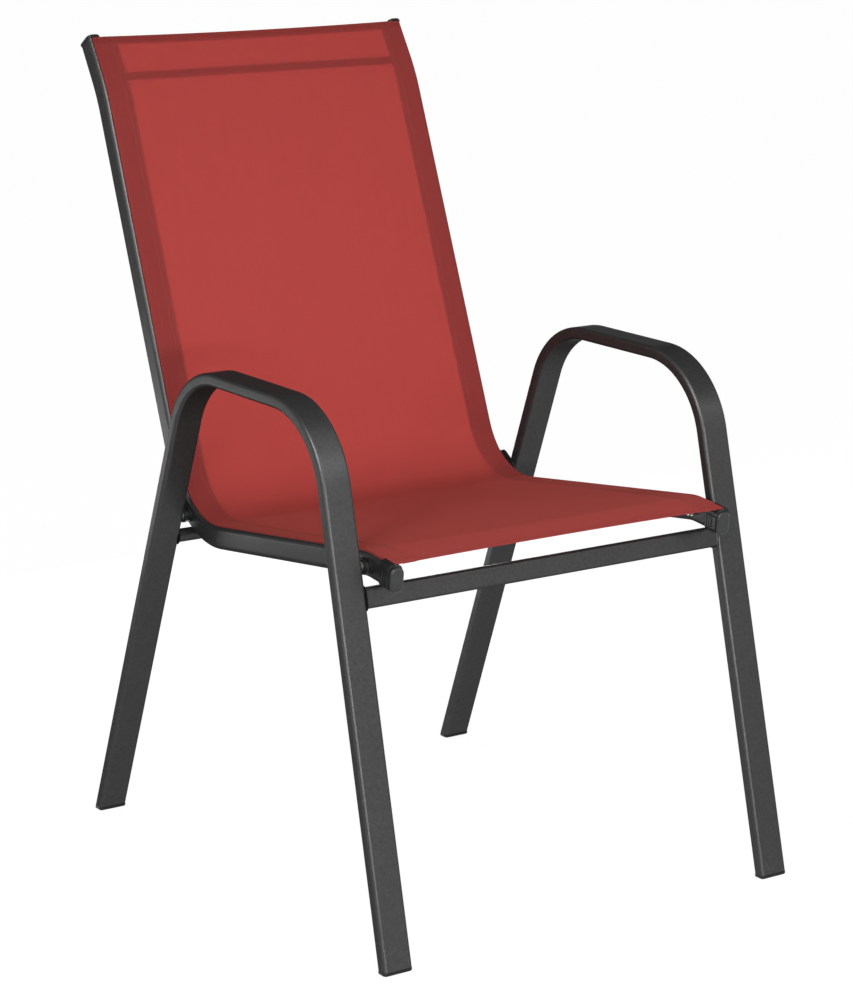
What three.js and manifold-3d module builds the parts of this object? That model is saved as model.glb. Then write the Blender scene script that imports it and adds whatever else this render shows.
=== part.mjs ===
import * as THREE from "three";
import { mergeVertices } from "three/addons/utils/BufferGeometryUtils.js";
import Module from "manifold-3d";

const wasm = await Module();
wasm.setup();

// A stacking patio chair: two bent tube hoops carry two side rails that hold a stretched sling.
// Millimetres. X runs across the chair, Y from front to back, Z up from the floor.
const degree = Math.PI / 180;

// Shared fits
const clearance = 0.3;
const cutOverrun = 6;

// Leg and arm hoops, one bent tube on each side
const hoopGap = 12.5;
const hoopSplay = 0.37 * degree;
const hoopWidth = 36;
const hoopThickness = 15;
const hoopCorner = 4;
const hoopWall = 1.2;
const footSpread = 664;
const frontLean = 12.47 * degree;
const rearLean = 23 * degree;
const armHeight = 591.4;
const armPitch = 1.02 * degree;
const frontBendRadius = 102.5;
const rearBendRadius = 103;

// Feet, a sole under each leg with a plug up the tube
const soleThickness = 4;
const soleOverhang = 0.3;
const plugDepth = 20;

// Side rails, from the front end over knee, hip and shoulder to the top end, along the centre line
const railSpacing = 440;
const railToeIn = 0.27 * degree;
const railLeanIn = 0.2 * degree;
const railWidth = 16;
const railDepth = 28;
const railCorner = 6.5;
const railWall = 1.5;
const railFrontY = -283;
const railFrontZ = 419;
const kneeRun = 49.5;
const kneeRise = 6;
const seatRun = 405.4;
const seatDrop = 45.8;
const backRun = 186.6;
const backRise = 504.2;
const topRun = 36.5;
const topRise = 59.9;
const kneeRadius = 79.7;
const hipRadius = 101.2;
const shoulderRadius = 228;
const hoopSpacing = railSpacing + railWidth + hoopWidth + 2 * hoopGap;

// Keyhole groove along the outer front corner of each rail
const grooveInset = 4.6;
const slotWidth = 2.2;
const slotDepth = 1.8;
const channelDiameter = 6.4;
const channelFloor = 1.3;
const kederDiameter = 5;

// End caps of the rails
const capOverhang = 0.5;
const capPlate = 1.6;
const capDome = 2;
const capPlugLength = 16;
const frontCapDrop = 2.2;
const collarLength = 19;
const collarSide = 1.1;
const collarBottom = 1.7;
const collarOpenDepth = 9;

// Sling cloth
const clothThickness = 1;
const clothFrontInset = 0.6;
const clothTopInset = 0.3;

// Crossbars between the hoops
const frontBarHeight = 390.9;
const frontBarWidth = 23.5;
const frontBarThickness = 15;
const frontBarCorner = 4;
const rearBarHeight = 377.5;
const rearBarDiameter = 16;
const barWall = 1.2;

// Spreader between the rails, behind the top of the back
const spreaderFromTop = 55.5;
const spreaderHeight = 10.5;
const spreaderDepth = 10;
const spreaderCorner = 3;
const spreaderWall = 1.2;
const spigotLength = 16;
const spigotFlange = 1.6;

// Fixings from rail to hoop
const boltDiameter = 6;
const boltHeadAcross = 10;
const boltHeadHeight = 4;
const boltReach = 8;
const washerDiameter = 13;
const washerThickness = 1.2;
const rivetBodyDiameter = 9;
const rivetFlangeDiameter = 13;
const rivetFlangeThickness = 1;
const rivetLength = 11;
const frontSpacerLength = 26;
const rearSpacerLength = 34;
const rearSpacerShift = 8;
const spacerWidth = 16;
const spacerWaist = 1.5;
const spacerRim = 3;

// Smoothness, in turns and counts
const bendStep = 9 * degree;
const fineStep = 0.5 * degree;
const cornerSteps = 3;
const innerCornerSteps = 2;
const roundSides = 16;
const hexSides = 6;
const channelSides = 8;

const powderCoat = new THREE.MeshStandardMaterial({ color: 0x4a4a4b, roughness: 0.55, metalness: 0.35 });
const blackPlastic = new THREE.MeshStandardMaterial({ color: 0x1d1e1f, roughness: 0.6, metalness: 0 });
const greyPlastic = new THREE.MeshStandardMaterial({ color: 0x333435, roughness: 0.5, metalness: 0 });
const slingCloth = new THREE.MeshStandardMaterial({ color: 0xac4441, roughness: 0.85, metalness: 0 });
const kederCord = new THREE.MeshStandardMaterial({ color: 0xd8d6d0, roughness: 0.7, metalness: 0 });
const zincSteel = new THREE.MeshStandardMaterial({ color: 0xa9abae, roughness: 0.35, metalness: 0.9 });

// Centre lines, as stations with a place and a direction in the side view
class StationPath extends THREE.Curve {
  constructor(stations) {
    super();
    this.stations = stations;
  }
  at(share) {
    return this.stations[Math.round(share * (this.stations.length - 1))];
  }
  getPoint(share, target = new THREE.Vector3()) {
    const s = this.at(share);
    return target.set(0, s.y, s.z);
  }
  getPointAt(share, target) {
    return this.getPoint(share, target);
  }
  getTangent(share, target = new THREE.Vector3()) {
    const s = this.at(share);
    return target.set(0, s.dy, s.dz);
  }
  getTangentAt(share, target) {
    return this.getTangent(share, target);
  }
}

function station(y, z, dy, dz) {
  const size = Math.hypot(dy, dz);
  return { y, z, dy: dy / size, dz: dz / size };
}

// Corners joined by straight runs and rounded by arcs
function roundedPath(corners, radii, step) {
  const run = (a, b) => station(a[0], a[1], b[0] - a[0], b[1] - a[1]);
  const stations = [run(corners[0], corners[1])];
  for (let i = 1; i < corners.length - 1; i += 1) {
    const before = run(corners[i - 1], corners[i]);
    const after = run(corners[i], corners[i + 1]);
    const from = Math.atan2(before.dz, before.dy);
    const cross = before.dy * after.dz - before.dz * after.dy;
    const turn = Math.atan2(cross, before.dy * after.dy + before.dz * after.dz);
    const radius = radii[i - 1];
    const back = radius * Math.tan(Math.abs(turn) / 2);
    const side = Math.sign(turn);
    const startY = corners[i][0] - before.dy * back;
    const startZ = corners[i][1] - before.dz * back;
    const centreY = startY - before.dz * radius * side;
    const centreZ = startZ + before.dy * radius * side;
    const count = Math.max(2, Math.ceil(Math.abs(turn) / step));
    for (let k = 0; k <= count; k += 1) {
      const angle = from + (turn * k) / count;
      const dy = Math.cos(angle);
      const dz = Math.sin(angle);
      stations.push(station(centreY + dz * radius * side, centreZ - dy * radius * side, dy, dz));
    }
  }
  const last = run(corners[corners.length - 2], corners[corners.length - 1]);
  stations.push(station(corners[corners.length - 1][0], corners[corners.length - 1][1], last.dy, last.dz));
  return stations;
}

// Longer at both ends for a positive length, shorter for a negative one
function stretched(stations, first, last) {
  const a = stations[0];
  const b = stations[stations.length - 1];
  const start = station(a.y - a.dy * first, a.z - a.dz * first, a.dy, a.dz);
  const end = station(b.y + b.dy * last, b.z + b.dz * last, b.dy, b.dz);
  return [start, ...stations.slice(1, -1), end];
}

// The station at a distance back from the end
function beforeEnd(stations, distance) {
  let left = distance;
  for (let i = stations.length - 1; i > 0; i -= 1) {
    const a = stations[i];
    const b = stations[i - 1];
    const span = Math.hypot(a.y - b.y, a.z - b.z);
    if (span >= left) {
      const share = left / span;
      const mix = (p, q) => p + (q - p) * share;
      return station(mix(a.y, b.y), mix(a.z, b.z), mix(a.dy, b.dy), mix(a.dz, b.dz));
    }
    left -= span;
  }
  return stations[0];
}

// Where two centre lines cross in the side view, in the order of the first line
function crossings(first, second) {
  const found = [];
  for (let i = 1; i < first.length; i += 1) {
    const a = first[i - 1];
    const ay = first[i].y - a.y;
    const az = first[i].z - a.z;
    for (let j = 1; j < second.length; j += 1) {
      const b = second[j - 1];
      const by = second[j].y - b.y;
      const bz = second[j].z - b.z;
      const det = ay * bz - az * by;
      if (det === 0) continue;
      const s = ((b.y - a.y) * bz - (b.z - a.z) * by) / det;
      const t = ((b.y - a.y) * az - (b.z - a.z) * ay) / det;
      if (s < 0 || s >= 1 || t < 0 || t >= 1) continue;
      found.push(station(a.y + ay * s, a.z + az * s, a.dy, a.dz));
    }
  }
  return found;
}

// Outlines
function roundedBox(width, height, corner, steps) {
  const r = Math.min(corner, width / 2, height / 2);
  const points = [];
  const middles = [
    [width / 2 - r, height / 2 - r],
    [r - width / 2, height / 2 - r],
    [r - width / 2, r - height / 2],
    [width / 2 - r, r - height / 2],
  ];
  middles.forEach(([x, y], quarter) => {
    for (let k = 0; k <= steps; k += 1) {
      const angle = ((quarter + k / steps) * Math.PI) / 2;
      const p = new THREE.Vector2(x + r * Math.cos(angle), y + r * Math.sin(angle));
      if (!points.length || points[points.length - 1].distanceTo(p) > clearance / roundSides) points.push(p);
    }
  });
  if (points[0].distanceTo(points[points.length - 1]) <= clearance / roundSides) points.pop();
  return points;
}

function ring(diameter, sides, turnShare = 0) {
  const points = [];
  for (let k = 0; k < sides; k += 1) {
    const angle = ((k + turnShare) * 2 * Math.PI) / sides;
    points.push(new THREE.Vector2((diameter / 2) * Math.cos(angle), (diameter / 2) * Math.sin(angle)));
  }
  return points;
}

const moved = (points, dx, dy) => points.map((p) => new THREE.Vector2(p.x + dx, p.y + dy));

function outline(points, holes = []) {
  const shape = new THREE.Shape(points);
  holes.forEach((hole) => shape.holes.push(new THREE.Path(hole)));
  return shape;
}

// An outline swept along stations: outline X points across the chair, outline Y away from the bend
function sweep(points, holes, stations) {
  const flip = (list) => list.map((p) => new THREE.Vector2(-p.x, p.y)).reverse();
  return new THREE.ExtrudeGeometry(outline(flip(points), holes.map(flip)), {
    steps: stations.length - 1,
    bevelEnabled: false,
    extrudePath: new StationPath(stations),
  });
}

// An outline in the side view, pushed out along X from one distance to another
function across(points, holes, from, to) {
  const geometry = new THREE.ExtrudeGeometry(outline(points, holes), { depth: to - from, bevelEnabled: false });
  geometry.translate(0, 0, from);
  const axes = [new THREE.Vector3(0, 1, 0), new THREE.Vector3(0, 0, 1), new THREE.Vector3(1, 0, 0)];
  return geometry.applyMatrix4(new THREE.Matrix4().makeBasis(...axes));
}

function turnedTo(points, direction) {
  const angle = Math.atan2(direction.dz, direction.dy);
  return points.map((p) => p.clone().rotateAround(new THREE.Vector2(), angle));
}

// Joining and cutting
function solid(geometry) {
  const plain = geometry.clone();
  plain.deleteAttribute("normal");
  plain.deleteAttribute("uv");
  const merged = mergeVertices(plain, clearance / 1000);
  return new wasm.Manifold(
    new wasm.Mesh({
      numProp: 3,
      vertProperties: merged.attributes.position.array,
      triVerts: new Uint32Array(merged.index.array),
    }),
  );
}

function shell(made) {
  const mesh = made.getMesh();
  const geometry = new THREE.BufferGeometry();
  const places = new Float32Array(mesh.numVert * 3);
  for (let i = 0; i < mesh.numVert; i += 1) {
    for (let k = 0; k < 3; k += 1) places[i * 3 + k] = mesh.vertProperties[i * mesh.numProp + k];
  }
  geometry.setAttribute("position", new THREE.BufferAttribute(places, 3));
  geometry.setIndex(new THREE.BufferAttribute(new Uint32Array(mesh.triVerts), 1));
  geometry.computeVertexNormals();
  return geometry;
}

function slab(width, depth, low, high, x = 0, y = 0) {
  const box = new THREE.BoxGeometry(width, depth, high - low);
  return box.translate(x, y, (low + high) / 2);
}

function piece(name, geometry, material, x = 0, y = 0, z = 0) {
  const mesh = new THREE.Mesh(geometry, material);
  mesh.name = name;
  mesh.position.set(x, y, z);
  return mesh;
}

// Centre line of a hoop, from the front foot over the arm to the rear foot
function hoopStations(step) {
  const foot = footSpread / 2;
  const meet = (y, lean, way) => {
    const slope = Math.tan(lean) * way;
    const z = (armHeight + y * Math.tan(armPitch)) / (1 - slope * Math.tan(armPitch));
    return [y + slope * z, z];
  };
  const corners = [[-foot, 0], meet(-foot, frontLean, 1), meet(foot, rearLean, -1), [foot, 0]];
  return roundedPath(corners, [frontBendRadius, rearBendRadius], step);
}

function railStations(step) {
  const runs = [
    [kneeRun, kneeRise],
    [seatRun, -seatDrop],
    [backRun, backRise],
    [topRun, topRise],
  ];
  const corners = [[railFrontY, railFrontZ]];
  runs.forEach(([run, rise]) => {
    const [y, z] = corners[corners.length - 1];
    corners.push([y + run, z + rise]);
  });
  return roundedPath(corners, [kneeRadius, hipRadius, shoulderRadius], step);
}

const hoopLine = hoopStations(bendStep);
const railLine = railStations(bendStep);
const fixings = crossings(railStations(fineStep), hoopStations(fineStep));
const fixingKinds = [
  { name: "front", length: frontSpacerLength, shift: 0 },
  { name: "rear", length: rearSpacerLength, shift: rearSpacerShift },
];

// Planes across the chair at a place in the side view, as distances from the middle
const drawnIn = (y, z) => (y - railFrontY) * Math.tan(railToeIn) + (z - railFrontZ) * Math.tan(railLeanIn);
const railCentre = (at) => railSpacing / 2 - drawnIn(at.y, at.z);
const railInner = (at) => railCentre(at) - railWidth / 2;
const railOuter = (at) => railCentre(at) + railWidth / 2;
const hoopFace = (height) => hoopSpacing / 2 - hoopWidth / 2 - height * Math.tan(hoopSplay);
const boltHole = boltDiameter + 2 * clearance;
const rivetHole = rivetBodyDiameter + 2 * clearance;

// Bent leg and arm tube, hollow, with a hole for each fixing in its inner wall
function legHoop(side) {
  const outer = roundedBox(hoopWidth, hoopThickness, hoopCorner, cornerSteps);
  const bore = roundedBox(
    hoopWidth - 2 * hoopWall,
    hoopThickness - 2 * hoopWall,
    hoopCorner - hoopWall,
    innerCornerSteps,
  );
  let tube = solid(sweep(outer, [bore], stretched(hoopLine, cutOverrun, cutOverrun)));
  const ground = slab(
    hoopWidth + 2 * cutOverrun,
    footSpread + 2 * hoopThickness + 2 * cutOverrun,
    -2 * cutOverrun - hoopThickness,
    soleThickness + clearance,
  );
  tube = tube.subtract(solid(ground));
  fixings.forEach((at) => {
    const reach = hoopWidth / 2 + cutOverrun;
    const hole = moved(ring(rivetHole, roundSides), at.y, at.z);
    tube = tube.subtract(solid(side < 0 ? across(hole, [], 0, reach) : across(hole, [], -reach, 0)));
  });
  return splayed(shell(tube), side);
}

// A geometry in side view coordinates, pushed across the chair by a rule
function pushed(geometry, rule) {
  const places = geometry.attributes.position;
  for (let i = 0; i < places.count; i += 1) {
    const x = places.getX(i);
    places.setX(i, x + rule(x, places.getY(i), places.getZ(i)));
  }
  geometry.computeVertexNormals();
  return geometry;
}

// The hoops and their feet stand wider at the floor than at the arms
const splayed = (geometry, side) => pushed(geometry, (x, y, z) => -side * z * Math.tan(hoopSplay));

// The rails run closer together towards the back and the top
const converging = (geometry, side) => pushed(geometry, (x, y, z) => -(side || Math.sign(x)) * drawnIn(y, z));

// Sole under a leg, with a plug that fills the end of the tube
function foot(side, direction, lean) {
  const shift = soleThickness * Math.tan(lean) * direction;
  const sole = new THREE.ExtrudeGeometry(
    outline(
      roundedBox(
        hoopWidth + 2 * soleOverhang,
        hoopThickness / Math.cos(lean) + 2 * soleOverhang,
        hoopCorner + soleOverhang,
        cornerSteps,
      ),
    ),
    { depth: soleThickness, bevelEnabled: false },
  );
  sole.translate(0, shift, 0);
  const up = station(0, 0, Math.sin(lean) * direction, Math.cos(lean));
  const low = station(-up.dy * cutOverrun, -up.dz * cutOverrun, up.dy, up.dz);
  const high = station(up.dy * plugDepth, up.dz * plugDepth, up.dy, up.dz);
  const fit = roundedBox(
    hoopWidth - 2 * hoopWall - 2 * clearance,
    hoopThickness - 2 * hoopWall - 2 * clearance,
    hoopCorner - hoopWall - clearance,
    innerCornerSteps,
  );
  const below = slab(2 * hoopWidth, 2 * hoopWidth, -hoopWidth, soleThickness / 2);
  const plug = solid(sweep(fit, [], [low, high])).subtract(solid(below));
  return splayed(shell(solid(sole).add(plug)), side);
}

// Flat oval bar between the front legs, turned with the legs
function frontCrossbar() {
  const lean = { dy: Math.cos(frontLean), dz: -Math.sin(frontLean) };
  const half = hoopFace(frontBarHeight + frontBarWidth / 2) - clearance;
  const outer = turnedTo(roundedBox(frontBarThickness, frontBarWidth, frontBarCorner, cornerSteps), lean);
  const bore = turnedTo(
    roundedBox(
      frontBarThickness - 2 * barWall,
      frontBarWidth - 2 * barWall,
      frontBarCorner - barWall,
      innerCornerSteps,
    ),
    lean,
  );
  return across(outer, [bore], -half, half);
}

// Round bar between the rear legs
function rearCrossbar() {
  const half = hoopFace(rearBarHeight + rearBarDiameter / 2) - clearance;
  const bore = ring(rearBarDiameter - 2 * barWall, roundSides);
  return across(ring(rearBarDiameter, roundSides), [bore], -half, half);
}

// Groove centre and channel centre in the rail's own section, measured from the rail's centre
const grooveOffset = railWidth / 2 - grooveInset;
const channelCentre = railDepth / 2 - slotDepth - channelDiameter / 2;
const cavityTop = channelCentre - channelDiameter / 2 - channelFloor;
const cavityBottom = railWall - railDepth / 2;
const cavityWidth = railWidth - 2 * railWall;
const cavityCorner = railCorner - railWall;

function railCavity(gap) {
  const box = roundedBox(cavityWidth - 2 * gap, cavityTop - cavityBottom - 2 * gap, cavityCorner - gap, innerCornerSteps);
  return moved(box, 0, (cavityTop + cavityBottom) / 2);
}

// Side rail with a hollow, a keyhole groove and two bolt holes
function slingRail(side) {
  const outer = roundedBox(railWidth, railDepth, railCorner, cornerSteps);
  let rail = solid(sweep(outer, [railCavity(0)], railLine));
  const long = stretched(railLine, cutOverrun, cutOverrun);
  const channel = moved(
    ring(channelDiameter / Math.cos(Math.PI / channelSides), channelSides, 1 / 2),
    side * grooveOffset,
    channelCentre,
  );
  const slotFoot = channelCentre;
  const slotHead = railDepth / 2 + cutOverrun;
  const slot = moved(
    roundedBox(slotWidth, slotHead - slotFoot, 0, 1),
    side * grooveOffset,
    (slotHead + slotFoot) / 2,
  );
  const keyhole = solid(sweep(channel, [], long)).add(solid(sweep(slot, [], long)));
  rail = rail.subtract(keyhole);
  fixings.forEach((at) => {
    const reach = railWidth / 2 + cutOverrun;
    rail = rail.subtract(solid(across(moved(ring(boltHole, roundSides), at.y, at.z), [], -reach, reach)));
  });
  return converging(shell(rail), side);
}

// Cord in the groove that keeps the edge of the cloth in
function kederRod(side) {
  const rod = moved(ring(kederDiameter, channelSides, 1 / 2), side * grooveOffset, channelCentre);
  return converging(sweep(rod, [], stretched(railLine, -clothFrontInset, -clothTopInset)), side);
}

// Domed end plate with a plug into the rail, lowered from the cloth by a drop, and a collar round
// the rail when it has a length
function railCap(collar, drop) {
  const width = railWidth + 2 * capOverhang;
  const depth = railDepth + 2 * capOverhang;
  const plate = new THREE.ExtrudeGeometry(
    outline(roundedBox(width - 2 * capDome, depth - 2 * capDome, railCorner + capOverhang - capDome, cornerSteps)),
    {
      depth: capPlate,
      bevelEnabled: true,
      bevelThickness: capDome,
      bevelSize: capDome,
      bevelSegments: innerCornerSteps,
    },
  );
  plate.translate(0, -drop, clearance);
  const rear = slab(2 * railDepth, 2 * railDepth, -railDepth, clearance);
  const plug = new THREE.ExtrudeGeometry(outline(railCavity(clearance)), {
    depth: capPlugLength + clearance + capPlate,
    bevelEnabled: false,
  });
  plug.translate(0, 0, -capPlugLength);
  let cap = solid(plate).subtract(solid(rear)).add(solid(plug));
  if (collar > 0) {
    const wrap = roundedBox(
      railWidth + 2 * clearance + 2 * collarSide,
      railDepth + 2 * clearance + 2 * collarBottom,
      railCorner + collarSide,
      cornerSteps,
    );
    const inner = roundedBox(
      railWidth + 2 * clearance,
      railDepth + 2 * clearance,
      railCorner + clearance,
      cornerSteps,
    );
    const sleeve = new THREE.ExtrudeGeometry(outline(wrap, [inner]), {
      depth: collar + clearance + capPlate,
      bevelEnabled: false,
    });
    sleeve.translate(0, 0, -collar);
    const open = new THREE.BoxGeometry(2 * railWidth, railDepth, 2 * (collar + capPlate + cutOverrun));
    open.translate(0, railDepth - collarOpenDepth, 0);
    cap = cap.add(solid(sleeve).subtract(solid(open)));
  }
  return shell(cap);
}

// A turned group at a rail end: X across, Y towards the cloth, Z out of the rail
function atRailEnd(end, way) {
  const holder = new THREE.Group();
  const out = new THREE.Vector3(0, end.dy * way, end.dz * way);
  const cloth = new THREE.Vector3(0, -end.dz, end.dy);
  const width = new THREE.Vector3().crossVectors(cloth, out);
  holder.quaternion.setFromRotationMatrix(new THREE.Matrix4().makeBasis(width, cloth, out));
  holder.position.set(0, end.y, end.z);
  return holder;
}

// Stretched cloth over both rails, with a lip down into each groove
function slingSheet() {
  const edge = railSpacing / 2 + grooveOffset + clothThickness / 2;
  const back = railDepth / 2 + clearance;
  const front = back + clothThickness;
  const lip = channelCentre + kederDiameter / 2 + clearance;
  const fold = clothThickness / 2;
  const half = [
    [edge - clothThickness, back],
    [edge - clothThickness, lip],
    [edge, lip],
    [edge, front - fold],
    [edge - fold, front],
  ];
  const right = half.map(([x, n]) => new THREE.Vector2(x, n));
  const left = half.map(([x, n]) => new THREE.Vector2(-x, n)).reverse();
  return converging(sweep([...right, ...left], [], stretched(railLine, -clothFrontInset, -clothTopInset)), 0);
}

// Bar that keeps the rails apart behind the top of the back
const spreaderAt = beforeEnd(railStations(fineStep), spreaderFromTop);
const spreaderHalf = railInner(spreaderAt) - 2 * clearance - spigotFlange;

function spreaderOutline(gap) {
  const box = roundedBox(spreaderHeight - 2 * gap, spreaderDepth - 2 * gap, spreaderCorner - gap, innerCornerSteps);
  return turnedTo(moved(box, 0, railDepth / 2 - spreaderDepth / 2), spreaderAt);
}

function backSpreader() {
  return across(spreaderOutline(0), [spreaderOutline(spreaderWall)], -spreaderHalf, spreaderHalf);
}

// Flange on the rail with a spigot inside the spreader
function spreaderSpigot(side) {
  const wall = railInner(spreaderAt) - clearance;
  const face = wall - spigotFlange;
  const flange = solid(across(spreaderOutline(0), [], face, wall));
  const stub = solid(across(spreaderOutline(spreaderWall + clearance), [], face - spigotLength, wall));
  const made = shell(flange.add(stub));
  if (side < 0) mirrored(made);
  return made;
}

// The same shape on the other side of the middle plane
function mirrored(geometry) {
  const places = geometry.attributes.position;
  for (let i = 0; i < places.count; i += 1) places.setX(i, -places.getX(i));
  const faces = geometry.index;
  for (let i = 0; i < faces.count; i += 3) {
    const keep = faces.getX(i);
    faces.setX(i, faces.getX(i + 1));
    faces.setX(i + 1, keep);
  }
  geometry.computeVertexNormals();
  return geometry;
}

// Long block between rail and hoop, narrower between its rims
function spacerBlock(at, kind) {
  const spacerFrom = railOuter(at) + clearance;
  const spacerTo = hoopFace(at.z) - 2 * clearance - rivetFlangeThickness;
  const stadium = (inset) => {
    const block = roundedBox(kind.length - 2 * inset, spacerWidth - 2 * inset, spacerWidth / 2, 2 * cornerSteps);
    return turnedTo(moved(block, kind.shift, 0), at);
  };
  const hole = ring(boltHole, roundSides);
  const rims = solid(across(stadium(0), [hole], spacerFrom, spacerFrom + spacerRim));
  const outerRim = solid(across(stadium(0), [hole], spacerTo - spacerRim, spacerTo));
  const core = solid(across(stadium(spacerWaist), [hole], spacerFrom + spacerRim / 2, spacerTo - spacerRim / 2));
  return shell(rims.add(core).add(outerRim));
}

function washer(at) {
  const face = railInner(at) - clearance;
  return across(ring(washerDiameter, roundSides), [ring(boltHole, roundSides)], face - washerThickness, face);
}

// Hexagon bolt from inside the rail to the hoop
function bolt(at) {
  const seat = railInner(at) - 2 * clearance - washerThickness;
  const head = across(ring(boltHeadAcross / Math.cos(Math.PI / hexSides), hexSides), [], seat - boltHeadHeight, seat);
  const shank = across(ring(boltDiameter, roundSides), [], seat - boltHeadHeight / 2, hoopFace(at.z) + boltReach);
  return shell(solid(head).add(solid(shank)));
}

// Rivet nut in the inner wall of the hoop
function rivetNut(at) {
  const seat = hoopFace(at.z) - clearance;
  const hole = ring(boltHole, roundSides);
  const flange = across(ring(rivetFlangeDiameter, roundSides), [hole], seat - rivetFlangeThickness, seat);
  const body = across(
    ring(rivetBodyDiameter, roundSides),
    [hole],
    seat - rivetFlangeThickness / 2,
    seat + rivetLength,
  );
  return shell(solid(flange).add(solid(body)));
}

const chair = new THREE.Group();
const sides = [
  ["left", -1],
  ["right", 1],
];
const railFront = railLine[0];
const railTop = railLine[railLine.length - 1];

sides.forEach(([name, side]) => {
  const hoopX = (side * hoopSpacing) / 2;
  const railX = (side * railSpacing) / 2;
  chair.add(piece(`${name}_leg_hoop`, legHoop(side), powderCoat, hoopX));
  const feet = [
    ["front", 1, frontLean, -footSpread / 2],
    ["rear", -1, rearLean, footSpread / 2],
  ];
  feet.forEach(([place, direction, lean, y]) => {
    chair.add(piece(`${name}_${place}_foot`, foot(side, direction, lean), blackPlastic, hoopX, y));
  });
  chair.add(piece(`${name}_sling_rail`, slingRail(side), powderCoat, railX));
  chair.add(piece(`${name}_keder_rod`, kederRod(side), kederCord, railX));
  const front = atRailEnd(railFront, -1);
  front.position.x = side * railCentre(railFront);
  front.add(piece(`${name}_rail_front_cap`, railCap(collarLength, frontCapDrop), greyPlastic));
  const top = atRailEnd(railTop, 1);
  top.position.x = side * railCentre(railTop);
  top.add(piece(`${name}_rail_top_cap`, railCap(0, 0), blackPlastic));
  chair.add(front, top);
  const spigot = spreaderSpigot(side);
  chair.add(piece(`${name}_spreader_spigot`, spigot, zincSteel, 0, spreaderAt.y, spreaderAt.z));
  fixings.forEach((at, i) => {
    const kind = fixingKinds[i];
    const set = [
      ["spacer", spacerBlock(at, kind), blackPlastic],
      ["washer", shell(solid(washer(at))), zincSteel],
      ["bolt", bolt(at), zincSteel],
      ["rivet_nut", rivetNut(at), zincSteel],
    ];
    set.forEach(([item, geometry, material]) => {
      const made = side < 0 ? mirrored(geometry) : geometry;
      chair.add(piece(`${name}_${kind.name}_${item}`, made, material, 0, at.y, at.z));
    });
  });
});

// Crossbars sit on the centre lines of the legs they join
const frontBarY = -footSpread / 2 + frontBarHeight * Math.tan(frontLean);
const rearBarY = footSpread / 2 - rearBarHeight * Math.tan(rearLean);
chair.add(piece("front_crossbar", frontCrossbar(), powderCoat, 0, frontBarY, frontBarHeight));
chair.add(piece("rear_crossbar", rearCrossbar(), powderCoat, 0, rearBarY, rearBarHeight));
chair.add(piece("upper_back_spreader", backSpreader(), powderCoat, 0, spreaderAt.y, spreaderAt.z));
chair.add(piece("sling_cloth", slingSheet(), slingCloth));

// The frame's origin is on the floor under the middle of the chair's outline
const outlineBox = new THREE.Box3().setFromObject(chair, true);
chair.position.y = -(outlineBox.min.y + outlineBox.max.y) / 2;

const part = new THREE.Group();
part.add(chair);

export default part;
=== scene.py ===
import math
from collections import namedtuple

import bmesh
import bpy
import numpy as np
from mathutils import Matrix, Vector


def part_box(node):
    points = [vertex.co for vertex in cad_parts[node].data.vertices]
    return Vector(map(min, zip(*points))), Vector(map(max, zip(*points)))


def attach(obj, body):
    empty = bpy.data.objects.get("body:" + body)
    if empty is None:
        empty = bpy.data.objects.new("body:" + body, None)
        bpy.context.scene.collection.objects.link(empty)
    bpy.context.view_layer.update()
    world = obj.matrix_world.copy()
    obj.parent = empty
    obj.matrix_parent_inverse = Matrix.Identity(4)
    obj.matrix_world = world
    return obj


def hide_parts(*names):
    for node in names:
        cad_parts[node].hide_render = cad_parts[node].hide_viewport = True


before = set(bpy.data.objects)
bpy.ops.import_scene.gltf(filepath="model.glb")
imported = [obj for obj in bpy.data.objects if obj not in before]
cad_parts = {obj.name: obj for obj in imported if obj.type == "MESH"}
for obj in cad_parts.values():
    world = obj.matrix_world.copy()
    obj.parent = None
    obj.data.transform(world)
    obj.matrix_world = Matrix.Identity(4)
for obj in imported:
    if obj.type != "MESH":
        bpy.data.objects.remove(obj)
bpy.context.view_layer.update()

# A stacking sling patio chair. Metres, X across, Y from front to back, Z up.
MM = 0.001
DEGREE = math.pi / 180

# Leg and arm hoops
FOOT_SPREAD = 664 * MM
FRONT_LEAN = 12.47 * DEGREE
REAR_LEAN = 23 * DEGREE
ARM_HEIGHT = 591.4 * MM
ARM_PITCH = 1.02 * DEGREE
FRONT_BEND = 102.5 * MM
REAR_BEND = 103 * MM
HOOP_WIDTH = 36 * MM
HOOP_THICKNESS = 15 * MM
HOOP_CORNER = 4 * MM
HOOP_SPACING = 517 * MM
HOOP_SPLAY = 0.37 * DEGREE
SOLE = 4 * MM
SOLE_OVERHANG = 0.3 * MM
SOLE_LEVELS = (
    (0, 1.5 * MM),
    (0.35 * MM, 0.75 * MM),
    (0.9 * MM, 0.25 * MM),
    (1.6 * MM, 0),
    (3.2 * MM, 0),
    (3.75 * MM, 0.25 * MM),
    (4 * MM, 0.7 * MM),
)

# Clearance between pieces that touch
GAP = 0.3 * MM

# Spacing of the rings along the centre lines
TUBE_STEP = 45 * MM
RAIL_STEP = 40 * MM
CLOTH_STEP = 14 * MM
BEND_STEP = 5 * MM

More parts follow.
